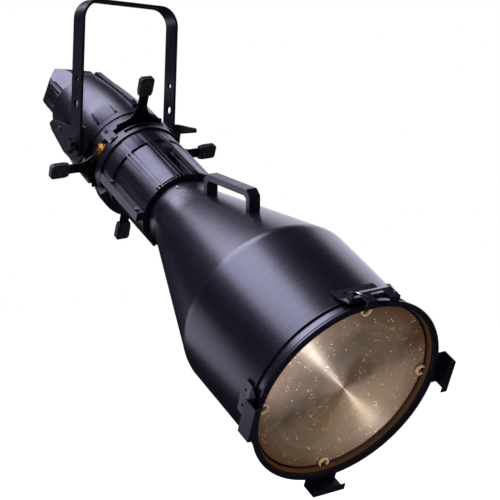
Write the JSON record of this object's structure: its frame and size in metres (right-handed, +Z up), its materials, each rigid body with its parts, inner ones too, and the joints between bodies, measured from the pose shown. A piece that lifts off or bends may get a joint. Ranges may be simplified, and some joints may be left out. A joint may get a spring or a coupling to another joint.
{
  "type": "ellipsoidal spotlight",
  "caption": "Narrow-beam stage spotlight: hanging yoke, domed lamp housing, shutter barrel and long flared lens tube with colour-frame holders.",
  "frame": {"origin": "centre of the clamp bolt's hole, on the top face of the yoke", "axes": "+Z up along the clamp bolt, +X ahead of the yoke towards the front of the light, Y along the tilt axis"},
  "size_m": [0.9382, 0.3704, 0.7846],
  "materials": {
    "black_paint": "satin black stove paint on metal",
    "black_plastic": "moulded black plastic, fine grain",
    "dark_steel": "blackened steel",
    "bright_steel": "plain bright steel",
    "shutter_steel": "darkened stainless sheet with heat tint",
    "spring_wire": "bright spring wire",
    "clip_brass": "bright brass-coloured spring clips",
    "lens_glass": "moulded glass lens with fine concentric steps and a warm tint",
    "reflector_glass": "facetted glass reflector with a bright coating",
    "lamp_glass": "clear quartz glass",
    "ceramic": "white ceramic lamp socket",
    "aluminium_fins": "plain aluminium lamp base with cooling fins"
  },
  "bodies": {
    "yoke": {"yoke": "black_paint"},
    "tilt_knob": {"tilt_knob": "black_plastic"},
    "tilt_lever": {"tilt_lever": "black_plastic"},
    "head": {"reflector_housing": "black_paint", "side_bracket_left": "black_paint", "side_bracket_right": "black_paint", "side_bracket_screws": "dark_steel", "pivot_bolts": "dark_steel", "pivot_washers": "bright_steel", "vent_fins": "black_paint", "reflector": "reflector_glass", "reflector_ring": "bright_steel", "rotation_collar": "black_paint"},
    "rotation_knob": {"rotation_knob": "black_plastic"},
    "lamp_cap": {"lamp_cap": "black_paint", "cable_gland": "black_plastic"},
    "cap_lock_knob": {"cap_lock_knob": "black_plastic"},
    "adjust_knob": {"adjust_knob": "black_plastic"},
    "lamp_carriage": {"lamp_socket": "ceramic", "lamp_base": "aluminium_fins", "lamp_bulb": "lamp_glass", "lamp_filament": "bright_steel"},
    "barrel": {"rotation_retainer": "bright_steel", "gate_rear_ring": "black_paint", "gate_front_ring": "black_paint", "gate_bridges": "dark_steel", "gate_bridge_screws": "dark_steel", "gate_aperture": "bright_steel", "shutter_guides": "bright_steel", "barrel_upper": "black_paint", "barrel_lower": "black_paint", "barrel_screws": "dark_steel", "accessory_slot_cover": "dark_steel"},
    "lens_tube": {"tube_sleeve": "dark_steel", "sleeve_guide_ring": "bright_steel", "tube_collar": "black_paint", "tube_collar_screws": "dark_steel", "lens_tube": "black_paint", "front_ring": "black_paint", "lens": "lens_glass", "lens_seat": "dark_steel", "lens_clips": "clip_brass", "frame_holder_top": "black_paint", "frame_holder_right": "black_paint", "frame_holder_bottom": "black_paint", "frame_holder_left": "black_paint", "carry_handle": "black_plastic", "handle_screws": "dark_steel"},
    "focus_knob": {"focus_knob": "black_plastic"},
    "frame_latch": {"frame_latch": "black_paint", "latch_spring": "spring_wire"},
    "shutter_top": {"shutter_blade_top": "shutter_steel", "shutter_grip_top": "black_plastic"},
    "shutter_right": {"shutter_blade_right": "shutter_steel", "shutter_grip_right": "black_plastic"},
    "shutter_bottom": {"shutter_blade_bottom": "shutter_steel", "shutter_grip_bottom": "black_plastic"},
    "shutter_left": {"shutter_blade_left": "shutter_steel", "shutter_grip_left": "black_plastic"}
  },
  "joints": [
    {"name": "yoke_tilt", "type": "hinge", "parent": "yoke", "child": "head", "pos_m": [0, 0, -0.254], "axis": [0, 1, 0], "range_deg": [-50.5, 39.5]},
    {"name": "tilt_knob_turn", "type": "hinge", "parent": "head", "child": "tilt_knob", "pos_m": [0, -0.1, -0.254], "axis": [0, -1, 0], "continuous": true},
    {"name": "tilt_lever_swing", "type": "hinge", "parent": "head", "child": "tilt_lever", "pos_m": [0, 0.1, -0.254], "axis": [0, 1, 0], "range_deg": [-60, 0]},
    {"name": "barrel_turn", "type": "hinge", "parent": "head", "child": "barrel", "pos_m": [0, 0, -0.254], "axis": [0.8616, 0, -0.5075], "range_deg": [-36, 14]},
    {"name": "rotation_knob_turn", "type": "hinge", "parent": "head", "child": "rotation_knob", "pos_m": [-0.03445, 0, -0.3312], "axis": [-0.5075, 0, -0.8616], "continuous": true},
    {"name": "shutter_top_slide", "type": "slide", "parent": "barrel", "child": "shutter_top", "axis": [-0.4982, 0.1908, -0.8458], "range_m": [0, 0.045]},
    {"name": "shutter_right_slide", "type": "slide", "parent": "barrel", "child": "shutter_right", "axis": [-0.0968, -0.9816, -0.1644], "range_m": [0, 0.045]},
    {"name": "shutter_bottom_slide", "type": "slide", "parent": "barrel", "child": "shutter_bottom", "axis": [0.4982, -0.1908, 0.8458], "range_m": [0, 0.045]},
    {"name": "shutter_left_slide", "type": "slide", "parent": "barrel", "child": "shutter_left", "axis": [0.0968, 0.9816, 0.1644], "range_m": [0, 0.045]},
    {"name": "focus_slide", "type": "slide", "parent": "barrel", "child": "lens_tube", "axis": [0.8616, 0, -0.5075], "range_m": [0, 0.05]},
    {"name": "focus_knob_turn", "type": "hinge", "parent": "lens_tube", "child": "focus_knob", "pos_m": [0.15962, -0.01527, -0.25688], "axis": [0.4982, -0.1908, 0.8458], "continuous": true},
    {"name": "latch_swing", "type": "hinge", "parent": "lens_tube", "child": "frame_latch", "pos_m": [0.69096, -0.03396, -0.45822], "axis": [-0.0968, -0.9816, -0.1644], "range_deg": [0, 95], "stiffness_Nm_per_rad": 0.4, "springref_deg": -20.05},
    {"name": "cap_withdraw", "type": "slide", "parent": "head", "child": "lamp_cap", "axis": [-0.8616, 0, 0.5075], "range_m": [0, 0.13]},
    {"name": "cap_lock_turn", "type": "hinge", "parent": "lamp_cap", "child": "cap_lock_knob", "pos_m": [-0.19473, 0, -0.1393], "axis": [-0.8616, 0, 0.5075], "range_deg": [0, 90]},
    {"name": "adjust_turn", "type": "hinge", "parent": "lamp_cap", "child": "adjust_knob", "pos_m": [-0.20248, 0, -0.13473], "axis": [-0.8616, 0, 0.5075], "range_deg": [-180, 180]},
    {"name": "lamp_travel", "type": "slide", "parent": "lamp_cap", "child": "lamp_carriage", "axis": [0.8616, 0, -0.5075], "range_m": [-0.005, 0.005]}
  ],
  "couplings": [
    {"joint": "adjust_turn", "follows": "lamp_travel", "rad_per_m": 628}
  ]
}
